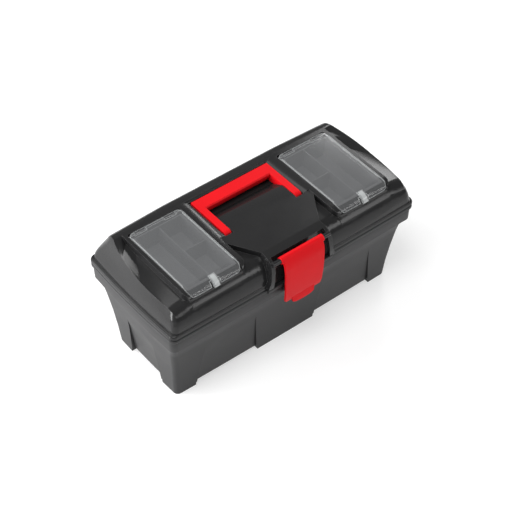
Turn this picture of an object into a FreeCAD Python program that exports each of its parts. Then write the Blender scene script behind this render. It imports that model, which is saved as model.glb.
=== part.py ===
import FreeCAD, Part
import math
import os

V = FreeCAD.Vector
os.makedirs("parts", exist_ok=True)

# ---------------------------------------------------------------- dimensions (mm)
WALL = 2.6                 # moulded wall of the tub and the lid
SPLIT_BASE = 135.8         # top of the base rim
SPLIT_LID = 136.2          # underside of the lid rim
FLANGE_LOW = 130.0         # underside of the base rim
FLANGE_TOP = 143.0         # top of the lid rim
TOP = 185.0                # organiser frames and the lid's back edge
PLATFORM = 183.4           # platform between the frames
SHOULDER = 175.2           # level of the lid round the frames
FOOT_HEIGHT = 5.0          # the recessed panels end this far above the floor
FLOOR = 3.0                # tub floor thickness
TRAY_LEDGE = 114.0         # step inside the tub that carries the tray

HINGE_Y, HINGE_Z = 94.6, 136.0
HINGE_X = 105.0            # centre of each lid hinge
HINGE_R = 4.3
PIN_R = 1.8

HANDLE_Y, HANDLE_Z = -15.0, 179.4
HANDLE_TOP = 184.4
HANDLE_PIN_R = 2.2
ARM_IN, ARM_OUT = 52.0, 61.5

LATCH_Y, LATCH_Z = -93.2, 177.2
LATCH_R = 5.0
LATCH_PIN_R = 1.6
LATCH_HALF = 33.6          # half length of the latch's barrel
RECESS_HALF = 42.5         # half width of the recess it sits in, at the top

COVER_Y, COVER_Z = 50.5, 183.3
COVER_IN, COVER_OUT = 79.4, 158.8
COVER_PIN_R = 1.0
FRAME_IN, FRAME_OUT = 71.6, 164.6
REBATE = 182.0             # ledge in the frame that the cover closes on
BIN_IN, BIN_OUT = 83.0, 155.2
BIN_FRONT, BIN_BACK = -65.7, 45.7
BIN_LOW = 153.0
FIT = 0.3                  # general gap between pieces that move
PIN_FIT = 0.06             # running fit of a pin, on the radius


# ---------------------------------------------------------------- helpers
def box(x0, x1, y0, y1, z0, z1):
    return Part.makeBox(x1 - x0, y1 - y0, z1 - z0, V(x0, y0, z0))


def rod(x0, x1, y, z, r):
    return Part.makeCylinder(r, x1 - x0, V(x0, y, z), V(1, 0, 0))


def mirror_x(shape):
    return shape.mirror(V(0, 0, 0), V(1, 0, 0))


def both(shape):
    return [shape, mirror_x(shape)]


def prism_x(points, x0, x1):
    """A profile of (y, z) points carried along X."""
    wire = Part.makePolygon([V(x0, y, z) for y, z in points + points[:1]])
    return Part.Face(wire).extrude(V(x1 - x0, 0, 0))


def prism_y(points, y0, y1):
    """A profile of (x, z) points carried along Y."""
    wire = Part.makePolygon([V(x, y0, z) for x, z in points + points[:1]])
    return Part.Face(wire).extrude(V(0, y1 - y0, 0))


def prism_z(points, z0, z1):
    """A plan of (x, y) points carried along Z."""
    wire = Part.makePolygon([V(x, y, z0) for x, y in points + points[:1]])
    return Part.Face(wire).extrude(V(0, 0, z1 - z0))


def rounded_box(x0, x1, y0, y1, z0, z1, r):
    """A box with its four upright edges rounded."""
    solid = box(x0, x1, y0, y1, z0, z1)
    edges = [e for e in solid.Edges if abs(e.tangentAt(e.FirstParameter).z) > 0.9]
    return solid.makeFillet(r, edges)


def circle_of(a, b, c):
    """Centre and radius of the circle through three points."""
    ax, ay = a
    bx, by = b
    cx, cy = c
    d = 2 * (ax * (by - cy) + bx * (cy - ay) + cx * (ay - by))
    sa, sb, sc = ax * ax + ay * ay, bx * bx + by * by, cx * cx + cy * cy
    ux = (sa * (by - cy) + sb * (cy - ay) + sc * (ay - by)) / d
    uy = (sa * (cx - bx) + sb * (ax - cx) + sc * (bx - ax)) / d
    return ux, uy, math.hypot(ax - ux, ay - uy)


def corner_centre(c1, c2, r, near):
    """Centre of a corner arc of radius r that runs smoothly into two side arcs."""
    x1, y1, r1 = c1[0], c1[1], c1[2] - r
    x2, y2, r2 = c2[0], c2[1], c2[2] - r
    dx, dy = x2 - x1, y2 - y1
    d = math.hypot(dx, dy)
    along = (r1 * r1 - r2 * r2 + d * d) / (2 * d)
    side = math.sqrt(max(r1 * r1 - along * along, 0.0))
    mx, my = x1 + along * dx / d, y1 + along * dy / d
    options = [(mx + side * dy / d, my - side * dx / d), (mx - side * dy / d, my + side * dx / d)]
    return min(options, key=lambda p: math.hypot(p[0] - near[0], p[1] - near[1]))


def ring(z, end_mid, end_front, end_back, front, back, bow, r, waist=0.0):
    """Closed outline at height z: four bowed sides joined by corner arcs."""
    corners = [(end_front, bow - front), (end_back, back - bow)]
    corners += [(-end_back, back - bow), (-end_front, bow - front)]
    mids = [(end_mid, waist), (0, back), (-end_mid, waist), (0, -front)]
    circles = [circle_of(corners[i], mids[i], corners[(i + 1) % 4]) for i in range(4)]
    starts, ends, middles = [], [], []
    for i in range(4):
        c_in, c_out, corner = circles[i - 1], circles[i], corners[i]
        px, py = corner_centre(c_in, c_out, r, corner)
        touch = []
        for cx, cy, cr in (c_in, c_out):
            reach = math.hypot(px - cx, py - cy)
            touch.append(V(cx + (px - cx) / reach * cr, cy + (py - cy) / reach * cr, z))
        ends.append(touch[0])
        starts.append(touch[1])
        mx, my = (touch[0].x + touch[1].x) / 2 - px, (touch[0].y + touch[1].y) / 2 - py
        reach = math.hypot(mx, my)
        middles.append(V(px + mx / reach * r, py + my / reach * r, z))
    edges = []
    for i in range(4):
        j = (i + 1) % 4
        edges.append(Part.Arc(starts[i], V(mids[i][0], mids[i][1], z), ends[j]).toShape())
        edges.append(Part.Arc(ends[j], middles[j], starts[j]).toShape())
    return Part.Wire(edges)


def even_ring(z, end, end_corner, side, side_corner, r, off=0.0):
    """Outline that is the same front and back, drawn in by off."""
    bow = side - side_corner
    return ring(z, end - off, end_corner - off, end_corner - off, side - off, side - off, bow, r)


def stack(rings):
    return Part.makeLoft(rings, True, True)


def blend_edges(shape, radius, wanted):
    """Round the edges that wanted() picks; try them together, then one by one."""
    edges = [e for e in shape.Edges if wanted(e)]
    if not edges:
        return shape
    try:
        rounded = shape.makeFillet(radius, edges)
        if rounded.isValid() and rounded.Volume > 0.5 * shape.Volume:
            return rounded
    except Exception:
        pass
    print("edges left sharp:", len(edges), "radius", radius)
    return shape


def save(name, shape):
    """Write one piece to its own file after checking that it is one sound solid."""
    shape = shape.removeSplitter()
    solids = shape.Solids
    if len(solids) != 1:
        print("WARNING", name, "has", len(solids), "solids", [round(s.Volume, 1) for s in solids])
        solids = sorted(solids, key=lambda s: -s.Volume)
    solid = solids[0]
    b = solid.BoundBox
    size = "x %.1f %.1f  y %.1f %.1f  z %.1f %.1f" % (b.XMin, b.XMax, b.YMin, b.YMax, b.ZMin, b.ZMax)
    print("%-28s %s  %8.0f mm3 valid %s" % (name, size, solid.Volume, solid.isValid()))
    solid.exportStep("parts/%s.step" % name)


# ---------------------------------------------------------------- base
def tub_outer():
    rings = [
        even_ring(0, 178.6, 177.4, 65.6, 63.8, 7),
        even_ring(27, 180.9, 179.9, 68.0, 66.5, 8),
        even_ring(57, 183.8, 182.9, 71.8, 70.5, 8),
        even_ring(86, 187.8, 186.9, 76.4, 75.0, 8),
        even_ring(100, 190.2, 189.2, 79.6, 78.2, 8),
        even_ring(112, 197.4, 194.8, 88.2, 87.2, 9),
        even_ring(FLANGE_LOW + 1, 198.2, 195.2, 88.8, 87.6, 8),
    ]
    return stack(rings)


def panel_surface():
    """The surface of the recessed panels: it meets the outer wall part-way up."""
    rings = [
        even_ring(-2, 172.8, 171.6, 61.6, 60.0, 6),
        even_ring(27, 177.5, 176.5, 65.7, 64.3, 7),
        even_ring(57, 182.4, 181.5, 70.6, 69.4, 7),
        even_ring(86, 189.0, 188.1, 76.7, 75.3, 8),
        even_ring(104, 195.0, 194.0, 83.0, 81.5, 8),
        even_ring(150, 215.0, 214.0, 112.0, 110.0, 8),
    ]
    return stack(rings)


def panel_regions():
    """Where the panels are: two on the front, two on the back, one on each end."""
    side = [(47, -3), (147, -3), (144.5, 14), (131, 104), (60, 104), (49.5, 14)]
    front = prism_y(side, -100, 0)
    regions = both(front) + both(front.mirror(V(0, 0, 0), V(0, 1, 0)))
    wire_low = Part.makePolygon([V(100, y, -3) for y in (-33, 33)] + [V(230, y, -3) for y in (33, -33)]
                                + [V(100, -33, -3)])
    wire_top = Part.makePolygon([V(100, y, 100) for y in (-24, 24)] + [V(230, y, 100) for y in (24, -24)]
                                + [V(100, -24, 100)])
    regions += both(stack([wire_low, wire_top]))
    return regions


def tub_inner():
    low = stack([
        even_ring(FOOT_HEIGHT + FLOOR, 168.6, 167.2, 58.8, 57.0, 5),
        even_ring(57, 177.4, 176.4, 67.2, 65.9, 6),
        even_ring(101, 185.6, 184.6, 76.2, 74.7, 6),
        even_ring(TRAY_LEDGE + 0.5, 186.0, 185.0, 76.5, 75.0, 6),
    ])
    high = stack([
        even_ring(TRAY_LEDGE, 194.4, 192.0, 85.0, 84.0, 6),
        even_ring(127, 194.8, 192.0, 85.2, 84.1, 6),
        even_ring(131, 190.4, 187.2, 83.4, 82.3, 5),
        even_ring(150, 190.4, 187.2, 83.4, 82.3, 5),
    ])
    return low.fuse(high)


def base_flange():
    outer = stack([
        even_ring(FLANGE_LOW, 199.0, 195.6, 89.8, 88.7, 7),
        even_ring(FLANGE_LOW + 1.4, 199.8, 196.4, 90.6, 89.5, 8),
        even_ring(SPLIT_BASE - 1.4, 199.8, 196.4, 90.6, 89.5, 8),
        even_ring(SPLIT_BASE, 198.2, 194.8, 89.0, 87.9, 7),
    ])
    return outer


def rim_tongue():
    """Low rib on the base rim that the lid closes round."""
    outer = stack([
        even_ring(SPLIT_BASE - 1, 192.5, 189.3, 85.5, 84.4, 6),
        even_ring(SPLIT_BASE + 2.0, 192.2, 189.0, 85.2, 84.1, 6),
    ])
    return outer


def knuckle(x0, x1, low):
    """Hinge eye; its strap runs down to the base rim or up to the lid rim."""
    eye = rod(x0, x1, HINGE_Y, HINGE_Z, HINGE_R)
    if low:
        strap = prism_x([(86, FLANGE_LOW - 4), (HINGE_Y, FLANGE_LOW + 0.8), (HINGE_Y, HINGE_Z),
                         (86, HINGE_Z - 0.3)], x0, x1)
    else:
        strap = prism_x([(86, HINGE_Z + 0.3), (HINGE_Y, HINGE_Z), (HINGE_Y + 1.5, HINGE_Z + 4),
                         (88, FLANGE_TOP), (86, FLANGE_TOP)], x0, x1)
    return eye.fuse(strap)


def hinge_spans(sign):
    """The three eyes of one hinge: lid, base, lid."""
    c = sign * HINGE_X
    return [(c - 19.0, c - 8.4), (c - 8.0, c + 8.0), (c + 8.4, c + 19.0)]


def base_tub():
    outer = tub_outer()
    panels = panel_surface()
    for region in panel_regions():
        outer = outer.cut(region.cut(panels))
    # underside: the floor is lifted between the feet
    feet = []
    for sx in (-1, 1):
        for sy in (-1, 1):
            xs = sorted((sx * 147, sx * 220))
            ys = sorted((sy * 34, sy * 100))
            feet.append(box(xs[0], xs[1], ys[0], ys[1], -2, 20))
    for sy in (-1, 1):
        ys = sorted((sy * 48, sy * 100))
        feet.append(box(-47, 47, ys[0], ys[1], -2, 20))
    under = box(-220, 220, -120, 120, -2, FOOT_HEIGHT)
    for foot in feet:
        under = under.cut(foot)
    outer = outer.cut(under)
    outer = outer.fuse(base_flange()).fuse(rim_tongue())
    for sign in (-1, 1):
        for index, span in enumerate(hinge_spans(sign)):
            if index == 1:
                outer = outer.fuse(knuckle(span[0], span[1], True))
            else:
                outer = outer.cut(rod(span[0] - 0.4, span[1] + 0.4, HINGE_Y, HINGE_Z, HINGE_R + 0.6))
    # catch behind the latch, with a small lead-in slope above it
    catch = prism_x([(-84, 126), (-88.2, 123.5), (-90.4, 119.5), (-90.4, 115.5), (-84, 113.5)], -24, 24)
    outer = outer.fuse(catch)
    # boss on the rim below the latch housing
    boss = prism_x([(-84, 122), (-87.6, 123.5), (-92.0, 128.5), (-94.0, 131.5), (-94.0, SPLIT_BASE - 0.6),
                    (-93.2, SPLIT_BASE), (-84, SPLIT_BASE)], -52, 52)
    outer = outer.fuse(boss.common(prism_y([(-52, 140), (-52, 132), (-47, 121), (47, 121), (52, 132), (52, 140)],
                                           -110, -80)))
    tub = outer.cut(tub_inner())
    for sign in (-1, 1):
        tub = tub.cut(rod(sign * HINGE_X - 20, sign * HINGE_X + 20, HINGE_Y, HINGE_Z, PIN_R + 0.02))
    return tub


def hinge_pin(sign):
    c = sign * HINGE_X
    return rod(c - 18.6, c + 18.6, HINGE_Y, HINGE_Z, PIN_R)


# ---------------------------------------------------------------- lid
FRONT_END = [(-89.2, 143.0), (-88.0, 151.0), (-85.4, 159.2), (-81.6, 165.4), (-76.0, 169.8), (-66.0, 172.4)]
FRONT_MID = [(-89.2, 143.0), (-88.0, 151.0), (-85.2, 159.6), (-80.8, 167.0), (-74.6, 172.4), (-66.0, SHOULDER)]
TOP_END = [(-66.0, 172.4), (-14.0, 174.8), (25.0, 179.8), (58.0, 184.4)]
TOP_MID = [(-66.0, SHOULDER), (28.0, SHOULDER), (50.0, 177.5), (58.0, 185.0)]
BACK_END = [(58.0, 184.4), (64.4, 183.4), (69.8, 180.6), (74.8, 174.6), (80.4, 165.0), (85.9, 152.8),
            (89.0, 143.0)]
BACK_NEAR_END = [(58.0, 185.0), (65.0, 184.2), (70.8, 181.2), (76.0, 175.0), (81.4, 165.2), (86.3, 152.8),
                 (89.0, 143.0)]
BACK_MID = [(58.0, 185.0), (65.8, 184.7), (72.4, 182.2), (77.4, 176.0), (82.4, 166.0), (86.7, 153.0),
            (89.0, 143.0)]


def moved_in(points, off):
    """The same run of points, drawn in square to the run by off."""
    result = []
    for i, (y, z) in enumerate(points):
        a = points[max(i - 1, 0)]
        b = points[min(i + 1, len(points) - 1)]
        dy, dz = b[0] - a[0], b[1] - a[1]
        length = math.hypot(dy, dz)
        result.append((y + off * dz / length, z - off * dy / length))
    return result


def arch_wire(x, front, top, back, off, bottom):
    """Front-to-back outline of the lid at one place along its length."""
    front = moved_in(front, off)
    back = moved_in(back, off)
    ridge = [front[-1]] + [(y, z - off) for y, z in top[1:-1]] + [back[0]]
    run_f = Part.BSplineCurve()
    run_f.interpolate([V(x, y, z) for y, z in front])
    run_b = Part.BSplineCurve()
    run_b.interpolate([V(x, y, z) for y, z in back])
    corners = [V(x, y, z) for y, z in ridge]
    start, end = V(x, front[0][0], bottom), V(x, back[-1][0], bottom)
    edges = [Part.makeLine(start, V(x, front[0][0], front[0][1])), run_f.toShape()]
    edges += [Part.makeLine(corners[i], corners[i + 1]) for i in range(3)]
    edges += [run_b.toShape(), Part.makeLine(V(x, back[-1][0], back[-1][1]), end), Part.makeLine(end, start)]
    return Part.Wire(edges)


def arch(off, bottom):
    """Arched top of the lid: level round the frames, falling away towards both ends."""
    foot = FRAME_OUT - off
    stations = [(-205, 0), (-187, 0), (-foot, 1), (-90, 2), (90, 2), (foot, 1), (187, 0), (205, 0)]
    outlines = [(FRONT_END, TOP_END, BACK_END), (FRONT_MID, TOP_MID, BACK_NEAR_END)]
    outlines.append((FRONT_MID, TOP_MID, BACK_MID))
    pieces = []
    for (x0, kind0), (x1, kind1) in zip(stations, stations[1:]):
        wires = [arch_wire(x, *outlines[kind], off, bottom) for x, kind in ((x0, kind0), (x1, kind1))]
        pieces.append(Part.makeLoft(wires, True, True))
    whole = pieces[0]
    for piece in pieces[1:]:
        whole = whole.fuse(piece)
    return whole


def lid_plan(off, bottom):
    """Outline of the lid, drawn in by off, leaning in towards the top."""
    rows = [
        (bottom, 195.6, 192.4, 192.2, 89.2, 89.2, 8),
        (145, 195.2, 192.2, 191.8, 89.2, 89.2, 8),
        (149, 194.4, 191.6, 190.4, 89.0, 89.0, 8),
        (154, 193.4, 191.0, 187.6, 88.6, 87.8, 9),
        (162, 191.4, 188.8, 183.4, 87.0, 84.4, 11),
        (171, 189.0, 184.6, 179.6, 83.6, 80.0, 13),
        (180, 186.6, 181.6, 176.2, 79.0, 76.0, 14),
        (190, 183.0, 178.0, 170.4, 74.0, 70.0, 14),
    ]
    rings = []
    for z, mid, front, back, y_front, y_back, r in rows:
        rings.append(ring(z, mid - off, front - off, back - off, y_front - off, y_back - off,
                          1.4, max(r - off, 4), -8.0))
    return stack(rings)


def lid_flange():
    return stack([
        even_ring(SPLIT_LID, 198.4, 195.0, 89.2, 88.1, 7),
        even_ring(SPLIT_LID + 1.4, 200.0, 196.6, 90.8, 89.7, 8),
        even_ring(FLANGE_TOP - 2.6, 200.0, 196.6, 90.8, 89.7, 8),
        even_ring(FLANGE_TOP - 1.0, 199.4, 196.0, 90.4, 89.3, 8),
        even_ring(FLANGE_TOP - 0.2, 198.0, 194.6, 89.9, 88.8, 7),
        even_ring(FLANGE_TOP, 196.6, 193.2, 89.4, 88.3, 7),
    ])


def platform_plan(off):
    """Plan of the platform; a second one, drawn in by the wall, is for the hollow under it."""
    if off == 0:
        half = [(72.0, 60.5), (72.0, -30.0), (46.5, -72.0), (46.5, -73.2)]
    else:
        half = [(69.0, 54.0), (69.0, -31.0), (43.6, -74.6), (43.6, -84.2)]
    return [(-x, y) for x, y in half] + [(x, y) for x, y in reversed(half)]


def arm_slope(top):
    """Slope from one arm of the folded handle up to the frame, on the +X side, or the space over it."""
    low, high = (62.9, 182.2), (FRAME_IN, TOP)
    if top:
        return prism_y([low, (low[0], 191), (high[0], 191), high], -20.5, 60.5)
    return prism_y([(low[0], 170), low, high, (high[0] + 0.4, TOP), (high[0] + 0.4, 170)], -20.5, 60.5)


def housing():
    """Nose of the lid that carries the latch."""
    side = [(-60, SPLIT_LID), (-60, PLATFORM), (-73.2, PLATFORM), (-83.2, 181.8), (-89.6, 179.6), (-93.8, 175.0),
            (-96.0, 166.0), (-97.0, 152.0), (-96.4, 140.0), (-94.0, SPLIT_LID)]
    half = [(46.2, TOP), (47.8, 173), (49.4, 156), (50.6, 148), (53.6, 141), (54.4, 130)]
    face = [(-x, z) for x, z in half] + [(x, z) for x, z in reversed(half)]
    return prism_x(side, -70, 70).common(prism_y(face, -110, -50))


def organiser_frame():
    """Raised frame round one organiser, on the +X side."""
    side = [(60.5, 160), (60.5, TOP), (-63.0, TOP), (-69.4, 183.9), (-74.0, 181.2), (-76.8, 177.0), (-77.6, 160)]
    frame = prism_x(side, FRAME_IN, FRAME_OUT)
    plan = rounded_box(FRAME_IN, FRAME_OUT, -77.6, 76, 150, 190, 12)
    frame = frame.common(plan)
    return frame


def frame_hollow():
    """Space inside one frame, seen from below, on the +X side."""
    return rounded_box(FRAME_IN + WALL, FRAME_OUT - WALL, -70.6, 55.0, 160, REBATE - WALL, 5)


def front_pad():
    """Shallow raised pad on the lid's front below one cover, on the +X side."""
    return arch(-1.0, 140).common(box(76, 158.5, -82.0, -70, 150, 180))


def lid_outer():
    body = arch(0, 133).common(lid_plan(0, 133))
    body = body.common(box(-210, 210, -100, 100, SPLIT_LID, 200))
    body = body.fuse(lid_flange())
    for frame in both(organiser_frame()):
        body = body.fuse(frame)
    for pad in both(front_pad()):
        body = body.fuse(pad)
    platform = prism_z(platform_plan(0), 155, PLATFORM)
    for space in both(arm_slope(True)):
        platform = platform.cut(space)
    body = body.fuse(platform)
    for slope in both(arm_slope(False)):
        body = body.fuse(slope)
    nose = housing()
    return body.fuse(nose)


def lid_cavity():
    hollow = arch(WALL, 133).common(lid_plan(WALL, 133))
    hollow = hollow.fuse(prism_z(platform_plan(1), 150, 179.0))
    hollow = hollow.fuse(prism_z([(-69, 54), (-69, -31), (-46, -70.6), (46, -70.6), (69, -31), (69, 54)],
                                 150, PLATFORM - WALL))
    for frame in both(frame_hollow()):
        hollow = hollow.fuse(frame)
    return hollow


def handle_block():
    """Walls and floors of the handle's pockets, seen from inside the lid."""
    block = box(-68, 68, -26, 57.5, 165.5, PLATFORM - 1)
    hollow = prism_x([(-23.5, 160), (-23.5, PLATFORM - WALL), (5, PLATFORM - WALL), (28, 166.5), (28, 160)],
                     -48.6, 48.6)
    return block.cut(hollow)


def handle_pockets():
    """Space that the folded handle lies in, with a sloping finger recess in front of the grip."""
    pockets = [
        box(ARM_IN - 1.0, ARM_OUT + 1.4, -22.0, 34, 173.6, 190),
        box(ARM_IN - 1.0, ARM_OUT + 1.4, -3.0, 34, 169.0, 190),
    ]
    pockets += [mirror_x(p) for p in pockets]
    pockets.append(box(-62.9, 62.9, 30, 54.6, 169.0, 190))
    pockets.append(prism_x([(31, 169.0), (31, 190), (7, 190), (7, PLATFORM)], -ARM_IN + 1.0, ARM_IN - 1.0))
    return pockets


def cover_rebate():
    """Space in one frame for a cover, its hinge and its tab, on the +X side."""
    cut = rounded_box(COVER_IN - 0.8, COVER_OUT + 0.8, -90, 54.4, REBATE, 190, 3.4)
    cut = cut.fuse(box(COVER_IN + 1.2, COVER_OUT - 1.2, 46.6, 54.4, 180.0, 190))
    mid = (COVER_IN + COVER_OUT) / 2
    cut = cut.fuse(box(mid - 5.8, mid + 5.8, -90, -73.0, 175.4, 190))
    # the cover's turned-down front edge
    front = prism_x([(-90, 190), (-68.4, 190), (-68.4, 181.9), (-72.6, 179.2), (-75.0, 175.8), (-90, 175.8)],
                    COVER_IN - 0.8, COVER_OUT + 0.8)
    return cut.fuse(front)


def lid_shell():
    shell = lid_outer().cut(lid_cavity())
    shell = shell.fuse(handle_block())
    for pocket in handle_pockets():
        shell = shell.cut(pocket)
    # back wall of the latch recess, then the recess itself
    recess_wall = prism_x([(-90, 146), (-90, 164), (-84.4, 170), (-84.4, 181.4), (-81.6, 181.4),
                           (-81.6, 169), (-87.2, 163), (-87.2, 146)], -48.5, 48.5)
    shell = shell.fuse(recess_wall)
    recess = prism_x([(-115, 130), (-115, 190), (-84.4, 190), (-84.4, 170), (-89.8, 164), (-89.8, 130)], -60, 60)
    width = [(-RECESS_HALF, 190), (-RECESS_HALF, 172), (-46.6, 130), (46.6, 130), (RECESS_HALF, 172),
             (RECESS_HALF, 190)]
    shell = shell.cut(recess.common(prism_y(width, -120, -80)))
    for stub in both(rod(LATCH_HALF + 0.4, RECESS_HALF + 3, LATCH_Y, LATCH_Z, 3.4)):
        shell = shell.fuse(stub)
    # organisers: frame inside is hollow down to the bin
    for sign in (-1, 1):
        well = rounded_box(BIN_IN - FIT, BIN_OUT + FIT, BIN_FRONT - FIT, BIN_BACK + FIT, 140, 190, 4)
        rebate = cover_rebate()
        pin = rod(COVER_IN - 2.4, COVER_OUT + 2.4, COVER_Y, COVER_Z, COVER_PIN_R + 0.03)
        for cut in (well, rebate, pin):
            shell = shell.cut(cut if sign > 0 else mirror_x(cut))
    # hinge eyes
    for sign in (-1, 1):
        for index, span in enumerate(hinge_spans(sign)):
            if index == 1:
                shell = shell.cut(rod(span[0] - 0.4, span[1] + 0.4, HINGE_Y, HINGE_Z, HINGE_R + 0.6))
                shell = shell.cut(box(span[0] - 0.4, span[1] + 0.4, HINGE_Y - HINGE_R - 0.6, 100,
                                      HINGE_Z - 5, HINGE_Z + 1))
            else:
                shell = shell.fuse(knuckle(span[0], span[1], False))
        shell = shell.cut(rod(sign * HINGE_X - 20, sign * HINGE_X + 20, HINGE_Y, HINGE_Z, PIN_R + PIN_FIT))
    # handle pivots and latch pin seats
    for sign in (-1, 1):
        xs = sorted((sign * 48.4, sign * 65.1))
        shell = shell.cut(rod(xs[0], xs[1], HANDLE_Y, HANDLE_Z, HANDLE_PIN_R + 0.02))
    shell = shell.cut(rod(-45.5, 45.5, LATCH_Y, LATCH_Z, LATCH_PIN_R + 0.02))
    return shell


def handle_pin(sign):
    xs = sorted((sign * 48.6, sign * 64.9))
    return rod(xs[0], xs[1], HANDLE_Y, HANDLE_Z, HANDLE_PIN_R)


def latch_pin():
    return rod(-45.2, 45.2, LATCH_Y, LATCH_Z, LATCH_PIN_R)


# ---------------------------------------------------------------- handle
def carry_handle():
    grip_side = [(33.5, 178.5), (35.5, 174.0), (39.5, 171.6), (47.0, 171.0), (51.4, 173.0), (52.6, 177.5),
                 (52.6, HANDLE_TOP), (35.0, HANDLE_TOP), (33.5, 182.8)]
    grip = prism_x(grip_side, -ARM_OUT, ARM_OUT)
    grip = grip.cut(box(-46, 46, 38, 48, 168, 181.6))
    arm_side = [(40, 171.5), (40, HANDLE_TOP), (-15, HANDLE_TOP), (-15, 174.8), (-2, 175.0), (3, 171.5)]
    solid = grip
    for sign in (-1, 1):
        xs = sorted((sign * ARM_IN, sign * ARM_OUT))
        arm = prism_x(arm_side, xs[0], xs[1])
        arm = arm.fuse(rod(xs[0], xs[1], HANDLE_Y, HANDLE_Z, 4.8))
        solid = solid.fuse(arm)
    for sign in (-1, 1):
        xs = sorted((sign * 45, sign * 68))
        solid = solid.cut(rod(xs[0], xs[1], HANDLE_Y, HANDLE_Z, HANDLE_PIN_R + PIN_FIT))
    solid = solid.removeSplitter()
    return blend_edges(solid, 1.2, lambda e: abs(e.BoundBox.ZMin - HANDLE_TOP) < 0.01 and e.BoundBox.ZLength < 0.01)


# ---------------------------------------------------------------- latch
def front_latch():
    inner = [(-93.6, 174.0), (-97.6, 168.0), (-99.0, 158.0), (-99.4, 148.0), (-98.9, 130.0), (-97.8, 114.0),
             (-96.0, 105.0)]
    outer = [(-98.6, 104.2), (-100.4, 113.0), (-101.9, 130.0), (-102.4, 148.0), (-102.2, 162.0), (-101.2, 171.0),
             (-98.1, 178.2), (-94.5, 177.2)]
    plate = prism_x(inner + outer, -34, 34)
    half = [(31.0, 182), (31.0, 165), (30.6, 140), (29.6, 112), (28.8, 105.8), (27.0, 104.2)]
    shape = [(-x, z) for x, z in half] + [(x, z) for x, z in reversed(half)]
    plate = plate.common(prism_y(shape, -110, -80))
    lip = prism_x([(-98.4, 113.6), (-90.9, 112.2), (-90.9, 109.4), (-97.6, 106.8)], -22, 22)
    tongue = prism_x([(-96.8, 108), (-97.6, 100), (-98.0, 96.0), (-100.0, 96.0), (-100.2, 100), (-99.4, 108)],
                     -18.5, 18.5)
    edge = [(-18.5, 112), (-17.0, 99.4), (-12.5, 97.0), (-5, 96.0), (5, 96.0), (12.5, 97.0), (17.0, 99.4), (18.5, 112)]
    tongue = tongue.common(prism_y(edge, -110, -80))
    barrel = rod(-LATCH_HALF, LATCH_HALF, LATCH_Y, LATCH_Z, LATCH_R)
    solid = barrel.fuse(plate).fuse(lip).fuse(tongue)
    return solid.cut(rod(-42, 42, LATCH_Y, LATCH_Z, LATCH_PIN_R + PIN_FIT))


# ---------------------------------------------------------------- organisers
def organiser_bin():
    outer = rounded_box(BIN_IN, BIN_OUT, BIN_FRONT, BIN_BACK, BIN_LOW, REBATE + 0.2, 3.6)
    inner = rounded_box(BIN_IN + 1.6, BIN_OUT - 1.6, BIN_FRONT + 1.6, BIN_BACK - 1.6, BIN_LOW + 1.6, 200, 2.4)
    lip = rounded_box(BIN_IN - 1.8, BIN_OUT + 1.8, BIN_FRONT - 1.8, BIN_BACK, REBATE, REBATE + 1.0, 3)
    return outer.fuse(lip).cut(inner)


def long_divider():
    mid = (COVER_IN + COVER_OUT) / 2 - 1.2
    return box(mid - 0.7, mid + 0.7, BIN_FRONT + 1.7, BIN_BACK - 1.7, BIN_LOW + 1.6, REBATE - 0.6)


def cross_divider():
    mid = (COVER_IN + COVER_OUT) / 2 - 1.2
    return box(BIN_IN + 1.7, mid - 0.8, -8.7, -7.3, BIN_LOW + 1.6, REBATE - 2.0)


def organiser_pin():
    return rod(COVER_IN - 2.2, COVER_OUT + 2.2, COVER_Y, COVER_Z, COVER_PIN_R)


def organiser_cover():
    side = [(52.8, 184.1), (52.8, 185.5), (-63.0, 185.5), (-69.6, 184.2), (-74.4, 181.3), (-77.2, 177.0),
            (-75.9, 176.4), (-73.5, 180.2), (-69.0, 182.9), (-63.0, 184.1), (44.0, 184.1)]
    plate = prism_x(side, COVER_IN, COVER_OUT)
    plate = plate.common(rounded_box(COVER_IN, COVER_OUT, -77.4, 80, 170, 190, 9.5))
    plate = plate.common(rounded_box(COVER_IN, COVER_OUT, -100, 52.8, 170, 190, 7))
    # raised border and turned-down border along the two long sides
    for x0, x1 in ((COVER_IN, COVER_IN + 1.6), (COVER_OUT - 1.6, COVER_OUT)):
        plate = plate.fuse(box(x0, x1, -60, 44.5, 183.3, 186.0))
    mid = (COVER_IN + COVER_OUT) / 2
    # snap tab: a small lever that runs down over the front edge, free on both sides
    for x0 in (mid - 7.0, mid + 4.6):
        plate = plate.cut(box(x0, x0 + 2.4, -80, -71.0, 170, 190))
    tab = prism_x([(-65.0, 185.0), (-65.0, 186.3), (-71.8, 185.7), (-76.6, 182.6), (-79.0, 178.4), (-79.0, 176.2),
                   (-77.4, 176.2), (-75.6, 180.2), (-71.2, 183.2)], mid - 4.4, mid + 4.4)
    plate = plate.fuse(tab)
    for x0 in (COVER_IN + 8, COVER_OUT - 26):
        eye = rod(x0, x0 + 18, COVER_Y, COVER_Z, 2.6)
        strap = box(x0, x0 + 18, 47.0, COVER_Y, COVER_Z + 0.6, 185.6)
        plate = plate.fuse(eye).fuse(strap)
    return plate.cut(rod(COVER_IN - 5, COVER_OUT + 5, COVER_Y, COVER_Z, COVER_PIN_R + PIN_FIT))


# ---------------------------------------------------------------- lift-out tray
def tray_ring(z, off):
    t = (z - 60.0) / (TRAY_LEDGE - 60.0)
    return even_ring(z, 174.4 + 9.0 * t, 173.0 + 9.0 * t, 64.2 + 9.6 * t, 62.7 + 9.6 * t, 6, off)


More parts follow.
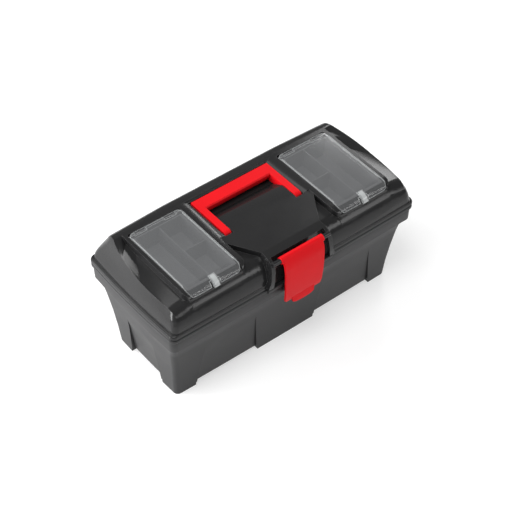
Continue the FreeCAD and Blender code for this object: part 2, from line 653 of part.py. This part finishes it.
def lift_out_tray():
    top = TRAY_LEDGE + 2.6
    body = stack([tray_ring(62, 0), tray_ring(TRAY_LEDGE + 1, 0)])
    lip = stack([even_ring(TRAY_LEDGE + 0.3, 189.0, 187.0, 80.6, 79.6, 5.5),
                 even_ring(top, 189.0, 187.0, 80.6, 79.6, 5.5)])
    tray = body.fuse(lip)
    tray = tray.cut(stack([tray_ring(64, 2.0), tray_ring(top + 4, 2.0)]))
    wall = box(-186, 186, -1.4, 1.4, 63, 110)
    wall = wall.common(stack([tray_ring(62.5, 1.0), tray_ring(110, 1.0)]))
    tray = tray.fuse(wall)
    frame = prism_y([(-70, 108), (-60, 134), (60, 134), (70, 108)], -4.5, 4.5)
    frame = frame.cut(prism_y([(-57, 109), (-50, 123), (50, 123), (57, 109)], -10, 10))
    frame = blend_edges(frame, 2.0, lambda e: abs(e.BoundBox.ZMin - 134) < 0.01 and e.BoundBox.XLength > 50)
    return tray.fuse(frame)


def tray_divider(x, y0, y1):
    plate = box(x - 0.8, x + 0.8, y0, y1, 64.1, 106)
    return plate.common(stack([tray_ring(63, 2.15), tray_ring(110, 2.15)]))


# ---------------------------------------------------------------- write the pieces
save("base_tub", base_tub())
save("hinge_pin_left", hinge_pin(-1))
save("hinge_pin_right", hinge_pin(1))
save("lid_shell", lid_shell())
save("handle_pin_left", handle_pin(-1))
save("handle_pin_right", handle_pin(1))
save("latch_pin", latch_pin())
save("carry_handle", carry_handle())
save("front_latch", front_latch())
for name, make in (("organiser_bin", organiser_bin), ("organiser_long_divider", long_divider),
                   ("organiser_cross_divider", cross_divider), ("organiser_hinge_pin", organiser_pin),
                   ("organiser_cover", organiser_cover)):
    save(name + "_right", make())
    save(name + "_left", mirror_x(make()))
save("lift_out_tray", lift_out_tray())
save("tray_divider_front_left", tray_divider(-60, -76, -1.5))
save("tray_divider_front_right", tray_divider(75, -76, -1.5))
save("tray_divider_back", tray_divider(20, 1.5, 76))
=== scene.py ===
# %% [markdown]
# # A moulded tool box with a tray
# This lesson dresses a finished CAD model in Blender: a black injection-moulded box with a hinged
# lid, a red folding handle, a red latch, two clear-covered organisers in the lid and a lift-out
# tray inside. The shapes come from the CAD file, so most of the work is finishes, light and the
# small moulded details that make plastic look like plastic.

# %% Load the CAD model
import bpy
import math
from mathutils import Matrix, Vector


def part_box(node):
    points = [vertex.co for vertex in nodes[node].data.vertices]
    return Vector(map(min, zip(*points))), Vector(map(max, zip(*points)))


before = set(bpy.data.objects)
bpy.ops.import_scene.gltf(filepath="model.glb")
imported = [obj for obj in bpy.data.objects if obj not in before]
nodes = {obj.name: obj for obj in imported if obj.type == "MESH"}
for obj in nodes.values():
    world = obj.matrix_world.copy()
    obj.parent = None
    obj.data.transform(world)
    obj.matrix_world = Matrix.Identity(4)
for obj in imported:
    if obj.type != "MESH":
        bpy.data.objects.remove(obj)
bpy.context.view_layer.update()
MM = 0.001
print("pieces loaded:", len(nodes))

# %% [markdown]
# ## Edges
# A moulded edge is never knife-sharp: the tool is cut with a small radius, and that radius catches
# a thin line of light. The CAD solids are exact but sharp, so each gets a Weld to join its faces,
# a Bevel limited to real corners, and normals weighted towards the larger faces.


# %% Soften the edges of the CAD pieces
CORNER_DEG = 38        # only edges that turn more than this are rounded
WELD_MM = 0.01         # faces' edges closer than this are one edge
PLAIN_RADIUS_MM = 0.15  # for pieces not named below


def soften(obj, radius_mm):
    weld = obj.modifiers.new("join faces", "WELD")
    weld.merge_threshold = WELD_MM * MM
    if radius_mm > 0:
        bevel = obj.modifiers.new("moulded edge", "BEVEL")
        bevel.width = radius_mm * MM
        bevel.segments = 2
        bevel.limit_method = "ANGLE"
        bevel.angle_limit = math.radians(CORNER_DEG)
        bevel.harden_normals = False
        bevel.use_clamp_overlap = True
    for face in obj.data.polygons:
        face.use_smooth = True
    shade = obj.modifiers.new("shade", "WEIGHTED_NORMAL")
    shade.keep_sharp = True
    shade.weight = 60


EDGE_RADIUS_MM = {
    "base_tub": 0.5, "lid_shell": 0.5, "carry_handle": 0.7, "front_latch": 0.5,
    "organiser_cover_left": 0.35, "organiser_cover_right": 0.35,
    "organiser_bin_left": 0.3, "organiser_bin_right": 0.3, "lift_out_tray": 0.4,
}
for name, obj in nodes.items():
    soften(obj, EDGE_RADIUS_MM.get(name, PLAIN_RADIUS_MM))
print("edges softened on", len(nodes), "pieces")

# %% [markdown]
# ## Shader groups
# Effects that several finishes share are built once as node groups: the fine moulded grain, wear
# on edges that also serves as a painted edge highlight, dust on faces that look up, and hairline scratches.
# every material decides what to do with them.


# %% Helpers for building node trees
def new_group(name, inputs, outputs):
    tree = bpy.data.node_groups.new(name, "ShaderNodeTree")
    for label, value in inputs:
        socket = tree.interface.new_socket(label, in_out="INPUT", socket_type="NodeSocketFloat")
        socket.default_value = value
    for label in outputs:
        tree.interface.new_socket(label, in_out="OUTPUT", socket_type="NodeSocketFloat")
    start = tree.nodes.new("NodeGroupInput")
    end = tree.nodes.new("NodeGroupOutput")
    return tree, start.outputs, end.inputs


def add(tree, kind, settings=None, **links):
    """Adds a node; keyword values are either sockets to link from or plain numbers."""
    node = tree.nodes.new(kind)
    for key, value in (settings or {}).items():
        setattr(node, key, value)
    for key, value in links.items():
        label = key.replace("_", " ")
        socket = node.inputs[int(key[1:])] if key[0] == "i" and key[1:].isdigit() else node.inputs[label]
        if isinstance(value, bpy.types.NodeSocket):
            tree.links.new(value, socket)
        else:
            socket.default_value = value
    return node


def maths(tree, operation, a, b=0.0, clamp=False):
    node = add(tree, "ShaderNodeMath", {"operation": operation, "use_clamp": clamp}, i0=a, i1=b)
    return node.outputs[0]


def place(tree, group, **values):
    """Puts a group into a material and sets its inputs."""
    node = tree.nodes.new("ShaderNodeGroup")
    node.node_tree = group
    for key, value in values.items():
        node.inputs[key.replace("_", " ")].default_value = value
    return node.outputs


# %% Fine moulded grain
def build_grain():
    tree, given, out = new_group("moulded grain", [("Grain size", 0.6)], ["Height", "Mottle"])
    where = add(tree, "ShaderNodeTexCoord").outputs["Object"]
    scale = maths(tree, "DIVIDE", 1000.0, given["Grain size"])
    pebble = add(tree, "ShaderNodeTexVoronoi", {"feature": "SMOOTH_F1"}, Vector=where, Scale=scale,
                 Smoothness=0.7)
    soft = add(tree, "ShaderNodeTexNoise", Vector=where, Scale=maths(tree, "MULTIPLY", scale, 0.45),
               Detail=3.0, Roughness=0.6)
    height = maths(tree, "ADD", maths(tree, "MULTIPLY", pebble.outputs["Distance"], 0.6),
                   maths(tree, "MULTIPLY", soft.outputs["Fac"], 0.5))
    tree.links.new(height, out["Height"])
    large = add(tree, "ShaderNodeTexNoise", Vector=where, Scale=22.0, Detail=4.0, Roughness=0.55)
    tree.links.new(large.outputs["Fac"], out["Mottle"])
    return tree


GRAIN = build_grain()


# %% Wear and painted highlight along the edges
def build_edge_wear_and_highlight():
    tree, given, out = new_group("edge wear", [("Width", 0.6), ("Breakup", 0.5)], ["Mask"])
    facing = add(tree, "ShaderNodeNewGeometry").outputs["Normal"]
    # Lightens every edge the Bevel node finds, convex and concave: partly wear, partly a painted highlight
    # where a rounded edge would catch light.
    rounded = add(tree, "ShaderNodeBevel", {"samples": 8},
                  Radius=maths(tree, "MULTIPLY", given["Width"], MM)).outputs["Normal"]
    dot = add(tree, "ShaderNodeVectorMath", {"operation": "DOT_PRODUCT"}, i0=facing, i1=rounded)
    edge = add(tree, "ShaderNodeMapRange", Value=dot.outputs["Value"])
    edge.inputs["From Min"].default_value = 0.98
    edge.inputs["From Max"].default_value = 0.86
    where = add(tree, "ShaderNodeTexCoord").outputs["Object"]
    patches = add(tree, "ShaderNodeTexNoise", Vector=where, Scale=85.0, Detail=5.0, Roughness=0.65)
    kept = add(tree, "ShaderNodeMapRange", Value=patches.outputs["Fac"])
    kept.inputs["From Min"].default_value = 0.42
    kept.inputs["From Max"].default_value = 0.68
    broken = maths(tree, "ADD", maths(tree, "MULTIPLY", kept.outputs[0], given["Breakup"]),
                   maths(tree, "SUBTRACT", 1.0, given["Breakup"]))
    tree.links.new(maths(tree, "MULTIPLY", edge.outputs[0], broken, True), out["Mask"])
    return tree


EDGE_WEAR_AND_HIGHLIGHT = build_edge_wear_and_highlight()


# %% Dust that settles on faces that look up
def build_dust():
    tree, given, out = new_group("settled dust", [("Amount", 0.3)], ["Mask"])
    normal = add(tree, "ShaderNodeNewGeometry").outputs["Normal"]
    up = add(tree, "ShaderNodeSeparateXYZ", i0=normal).outputs["Z"]
    level = add(tree, "ShaderNodeMapRange", Value=up)
    level.inputs["From Min"].default_value = 0.3
    where = add(tree, "ShaderNodeTexCoord").outputs["Object"]
    cloud = add(tree, "ShaderNodeTexNoise", Vector=where, Scale=14.0, Detail=6.0, Roughness=0.6)
    speck = add(tree, "ShaderNodeTexNoise", Vector=where, Scale=900.0, Detail=2.0, Roughness=0.5)
    fine = add(tree, "ShaderNodeMapRange", Value=speck.outputs["Fac"])
    fine.inputs["From Min"].default_value = 0.55
    fine.inputs["From Max"].default_value = 0.75
    spread = maths(tree, "MULTIPLY", cloud.outputs["Fac"], maths(tree, "ADD", fine.outputs[0], 0.35))
    mask = maths(tree, "MULTIPLY", maths(tree, "MULTIPLY", spread, level.outputs[0]), given["Amount"], True)
    tree.links.new(mask, out["Mask"])
    return tree


DUST = build_dust()


# %% Hairline scratches
def build_scratches():
    tree, given, out = new_group("hairline scratches", [("Amount", 0.5)], ["Mask"])
    where = add(tree, "ShaderNodeTexCoord").outputs["Object"]
    total = None
    for turn, squeeze in ((0.5, (30.0, 900.0, 500.0)), (-0.9, (700.0, 24.0, 600.0))):
        spun = add(tree, "ShaderNodeMapping", i0=where, Rotation=(0.1, 0.05, turn), Scale=squeeze)
        lines = add(tree, "ShaderNodeTexNoise", Vector=spun.outputs[0], Scale=1.0, Detail=2.0)
        thin = add(tree, "ShaderNodeMapRange", Value=lines.outputs["Fac"])
        thin.inputs["From Min"].default_value = 0.66
        thin.inputs["From Max"].default_value = 0.74
        total = thin.outputs[0] if total is None else maths(tree, "MAXIMUM", total, thin.outputs[0])
    area = add(tree, "ShaderNodeTexNoise", Vector=where, Scale=18.0, Detail=2.0)
    here = add(tree, "ShaderNodeMapRange", Value=area.outputs["Fac"])
    here.inputs["From Min"].default_value = 0.48
    here.inputs["From Max"].default_value = 0.7
    mask = maths(tree, "MULTIPLY", maths(tree, "MULTIPLY", total, here.outputs[0]), given["Amount"], True)
    tree.links.new(mask, out["Mask"])
    return tree


SCRATCHES = build_scratches()
print("shader groups:", len(bpy.data.node_groups))

# %% [markdown]
# ## Finishes
# The black and red parts are polypropylene straight from the tool: a satin skin with a fine
# spark-eroded grain. The lid is a little glossier than the tub. Polystyrene covers are clear, with a
# painted highlight along their edges. One function makes all the opaque plastics, and each call says how
# that piece differs.


# %% Moulded plastic
def moulded(name, colour, worn_and_highlit, rough, grain=0.6, bump=0.12, wear_and_highlight=0.5, dust=0.2, scratch=0.4, gloss=0.36):
    material = bpy.data.materials.new(name)
    material.use_nodes = True
    tree = material.node_tree
    shader = tree.nodes["Principled BSDF"]
    skin = place(tree, GRAIN, Grain_size=grain)
    edge = place(tree, EDGE_WEAR_AND_HIGHLIGHT, Width=0.7, Breakup=0.65)
    film = place(tree, DUST, Amount=dust)
    line = place(tree, SCRATCHES, Amount=scratch)
    tone = add(tree, "ShaderNodeMix", {"data_type": "RGBA"})
    tone.inputs[6].default_value = (*[c * 0.9 for c in colour], 1)
    tone.inputs[7].default_value = (*[c * 1.1 for c in colour], 1)
    tree.links.new(skin["Mottle"], tone.inputs[0])
    # Edges are pulled towards the edge colour: wear, and a painted highlight along the rounded edges.
    rubbed_and_highlit = add(tree, "ShaderNodeMix", {"data_type": "RGBA"})
    rubbed_and_highlit.inputs[7].default_value = (*worn_and_highlit, 1)
    tree.links.new(tone.outputs[2], rubbed_and_highlit.inputs[6])
    tree.links.new(maths(tree, "MULTIPLY", edge["Mask"], wear_and_highlight), rubbed_and_highlit.inputs[0])
    dusty = add(tree, "ShaderNodeMix", {"data_type": "RGBA"})
    dusty.inputs[7].default_value = (0.42, 0.41, 0.39, 1)
    tree.links.new(rubbed_and_highlit.outputs[2], dusty.inputs[6])
    tree.links.new(maths(tree, "MULTIPLY", film["Mask"], 0.12), dusty.inputs[0])
    tree.links.new(dusty.outputs[2], shader.inputs["Base Color"])
    varied = maths(tree, "ADD", rough - 0.05, maths(tree, "MULTIPLY", skin["Mottle"], 0.10))
    marked = maths(tree, "ADD", varied, maths(tree, "MULTIPLY", line["Mask"], 0.12))
    settled = maths(tree, "ADD", marked, maths(tree, "MULTIPLY", film["Mask"], 0.2), True)
    tree.links.new(settled, shader.inputs["Roughness"])
    relief = add(tree, "ShaderNodeBump", Strength=bump, Distance=0.0002,
                 Height=maths(tree, "SUBTRACT", skin["Height"], maths(tree, "MULTIPLY", line["Mask"], 0.5)))
    tree.links.new(relief.outputs[0], shader.inputs["Normal"])
    shader.inputs["IOR"].default_value = 1.49
    shader.inputs["Specular IOR Level"].default_value = gloss
    return material


# The lid's pale edge colour is mostly a painted highlight on its rounded edges.
LID_BLACK = moulded("black lid plastic", (0.015, 0.015, 0.0155), (0.24, 0.24, 0.24), rough=0.18, grain=0.5,
                    bump=0.05, wear_and_highlight=0.45, scratch=0.2, gloss=0.30)
TUB_BLACK = moulded("black tub plastic", (0.023, 0.023, 0.024), (0.15, 0.15, 0.15), rough=0.42, grain=0.8,
                    bump=0.14, gloss=0.22)
RED = moulded("red handle plastic", (0.66, 0.006, 0.0105), (0.80, 0.05, 0.05), rough=0.42, grain=0.6,
              bump=0.05, dust=0.03, wear_and_highlight=0.35, scratch=0.2, gloss=0.08)
BIN_GREY = moulded("organiser bin plastic", (0.15, 0.15, 0.155), (0.2, 0.2, 0.2), rough=0.42, bump=0.08)
TRAY_GREY = moulded("tray plastic", (0.07, 0.071, 0.074), (0.17, 0.17, 0.17), rough=0.42, bump=0.12)
print("plastics made:", len(bpy.data.materials))


# %% Clear cover plastic
TAB_HALF_MM = 3.2      # half width of the frosted tab
TAB_START_MM = -66     # the tab lies in front of this


def snap_tab_mask(tree):
    """1 on the little snap tab in the middle of a cover's front edge, 0 elsewhere."""
    where = add(tree, "ShaderNodeSeparateXYZ", i0=add(tree, "ShaderNodeTexCoord").outputs["Object"])
    across = maths(tree, "SUBTRACT", maths(tree, "ABSOLUTE", where.outputs[0]), TAB_MIDDLE)
    side = maths(tree, "ABSOLUTE", across)
    narrow = maths(tree, "LESS_THAN", side, TAB_HALF_MM * MM)
    front = maths(tree, "LESS_THAN", where.outputs[1], TAB_START_MM * MM)
    return maths(tree, "MULTIPLY", narrow, front)


def clear_plastic():
    material = bpy.data.materials.new("clear cover plastic")
    material.use_nodes = True
    tree = material.node_tree
    shader = tree.nodes["Principled BSDF"]
    edge = place(tree, EDGE_WEAR_AND_HIGHLIGHT, Width=1.5, Breakup=0.0)
    skin = place(tree, GRAIN, Grain_size=2.0)
    line = place(tree, SCRATCHES, Amount=0.8)
    tab = snap_tab_mask(tree)
    # Painted highlight: the cover's edges are painted pale and more opaque; the frosted snap tab shares the
    # same pale colour.
    painted_edge_highlight_and_tab = maths(tree, "MAXIMUM", edge["Mask"], tab)
    tone = add(tree, "ShaderNodeMix", {"data_type": "RGBA"})
    tone.inputs[6].default_value = (0.20, 0.205, 0.21, 1)
    tone.inputs[7].default_value = (0.58, 0.60, 0.60, 1)
    tree.links.new(painted_edge_highlight_and_tab, tone.inputs[0])
    tree.links.new(tone.outputs[2], shader.inputs["Base Color"])
    # Painted reflection: the cover turns paler and more opaque where it is seen at a grazing angle.
    painted_grazing_reflection = add(tree, "ShaderNodeLayerWeight", Blend=0.35).outputs["Fresnel"]
    body = maths(tree, "ADD", 0.24, maths(tree, "MULTIPLY", painted_edge_highlight_and_tab, 0.4))
    seen = maths(tree, "ADD", body, maths(tree, "MULTIPLY", painted_grazing_reflection, 0.2))
    hazed = maths(tree, "ADD", seen, maths(tree, "MULTIPLY", line["Mask"], 0.10), True)
    tree.links.new(hazed, shader.inputs["Alpha"])
    rough = maths(tree, "ADD", 0.07, maths(tree, "MULTIPLY", skin["Mottle"], 0.08))
    tree.links.new(maths(tree, "ADD", rough, maths(tree, "MULTIPLY", line["Mask"], 0.2)),
                   shader.inputs["Roughness"])
    shader.inputs["IOR"].default_value = 1.59
    return material


cover_low, cover_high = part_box("organiser_cover_right")
TAB_MIDDLE = (cover_low[0] + cover_high[0]) / 2
CLEAR = clear_plastic()


# %% Drawn steel for the pins
def drawn_steel():
    material = bpy.data.materials.new("drawn pin steel")
    material.use_nodes = True
    tree = material.node_tree
    shader = tree.nodes["Principled BSDF"]
    skin = place(tree, GRAIN, Grain_size=0.3)
    line = place(tree, SCRATCHES, Amount=1.0)
    shader.inputs["Metallic"].default_value = 1.0
    tone = add(tree, "ShaderNodeMix", {"data_type": "RGBA"})
    tone.inputs[6].default_value = (0.42, 0.42, 0.43, 1)
    tone.inputs[7].default_value = (0.62, 0.62, 0.63, 1)
    tree.links.new(skin["Mottle"], tone.inputs[0])
    tree.links.new(tone.outputs[2], shader.inputs["Base Color"])
    rough = maths(tree, "ADD", 0.26, maths(tree, "MULTIPLY", line["Mask"], 0.3))
    tree.links.new(rough, shader.inputs["Roughness"])
    relief = add(tree, "ShaderNodeBump", Strength=0.1, Distance=0.0001, Height=skin["Height"])
    tree.links.new(relief.outputs[0], shader.inputs["Normal"])
    return material


STEEL = drawn_steel()

# %% [markdown]
# Each CAD piece arrives with one material slot, so giving it a finish is one assignment. The
# order of the rules matters: a hinge pin of an organiser is steel, not organiser plastic.


# %% Give each piece its finish
def finish_for(name):
    if "pin" in name:
        return TUB_BLACK if name.startswith("handle") else STEEL
    if name == "base_tub":
        return TUB_BLACK
    if name == "lid_shell":
        return LID_BLACK
    if name in ("carry_handle", "front_latch"):
        return RED
    if "cover" in name:
        return CLEAR
    return BIN_GREY if name.startswith("organiser") else TRAY_GREY


for name, obj in nodes.items():
    obj.data.materials.clear()
    obj.data.materials.append(finish_for(name))
print("finishes given")

# %% [markdown]
# ## Floor, light and camera
# A dark glossy object is drawn by what it reflects. A wide low light on the left keeps the end
# faces readable, a high light shapes the top, and two panels behind put thin highlights on the
# rounded edges. The part of the room that the top mirrors towards the camera stays dim.


# %% Floor
def build_floor():
    mesh = bpy.data.meshes.new("floor")
    half = 6.0
    corners = [(-half, -half, 0), (half, -half, 0), (half, half, 0), (-half, half, 0)]
    mesh.from_pydata(corners, [], [(0, 1, 2, 3)])
    floor = bpy.data.objects.new("floor", mesh)
    bpy.context.scene.collection.objects.link(floor)
    material = bpy.data.materials.new("pale floor")
    material.use_nodes = True
    tree = material.node_tree
    skin = place(tree, GRAIN, Grain_size=3.0)
    tone = add(tree, "ShaderNodeMix", {"data_type": "RGBA"})
    tone.inputs[6].default_value = (0.54, 0.54, 0.54, 1)
    tone.inputs[7].default_value = (0.56, 0.56, 0.56, 1)
    tree.links.new(skin["Mottle"], tone.inputs[0])
    shader = tree.nodes["Principled BSDF"]
    tree.links.new(tone.outputs[2], shader.inputs["Base Color"])
    shader.inputs["Roughness"].default_value = 0.9
    shader.inputs["Specular IOR Level"].default_value = 0.1
    shader.inputs["Emission Color"].default_value = (1, 1, 1, 1)
    shader.inputs["Emission Strength"].default_value = 0.52
    mesh.materials.append(material)


build_floor()


# %% Lights
def soft_light(name, where, target, size, power):
    lamp = bpy.data.lights.new(name, "AREA")
    lamp.shape = "RECTANGLE"
    lamp.size, lamp.size_y = size
    lamp.energy = power
    obj = bpy.data.objects.new(name, lamp)
    bpy.context.scene.collection.objects.link(obj)
    obj.location = where
    obj.rotation_euler = (Vector(target) - Vector(where)).to_track_quat("-Z", "Y").to_euler()
    return obj


CENTRE = (0.0, 0.0, 0.1)
soft_light("low key on the left", (-1.9, 0.55, 0.42), CENTRE, (1.6, 0.5), 45)
soft_light("high key", (-0.75, -0.35, 2.3), CENTRE, (1.1, 1.1), 30)
soft_light("tall box behind on the left", (-1.30, 1.10, 1.30), CENTRE, (1.1, 1.1), 20)
soft_light("panel behind on the right", (1.26, 0.94, 1.18), (-0.18, 0.0, 0.18), (0.5, 0.40), 6)
soft_light("dim overhead", (-0.10, 0.95, 1.70), CENTRE, (0.8, 0.6), 4)
soft_light("front fill", (0.95, -1.65, 1.15), CENTRE, (0.9, 0.7), 8)
world = bpy.data.worlds.new("studio")
bpy.context.scene.world = world
world.use_nodes = True
world.node_tree.nodes["Background"].inputs["Color"].default_value = (1, 1, 1, 1)
world.node_tree.nodes["Background"].inputs["Strength"].default_value = 0.25
bpy.context.scene.view_settings.view_transform = "Standard"

# %% [markdown]
# The camera stands off the front left corner, looking down at about 45 degrees with a long lens.


# %% Camera
def build_camera(where, target, lens):
    data = bpy.data.cameras.new("camera")
    data.lens = lens
    data.sensor_width = 36.0
    camera = bpy.data.objects.new("camera", data)
    bpy.context.scene.collection.objects.link(camera)
    camera.location = where
    camera.rotation_euler = (Vector(target) - Vector(where)).to_track_quat("-Z", "Y").to_euler()
    bpy.context.scene.camera = camera


build_camera((-0.8803, -1.1116, 1.5137), (0.0024, 0.0, 0.0904), 107.8)
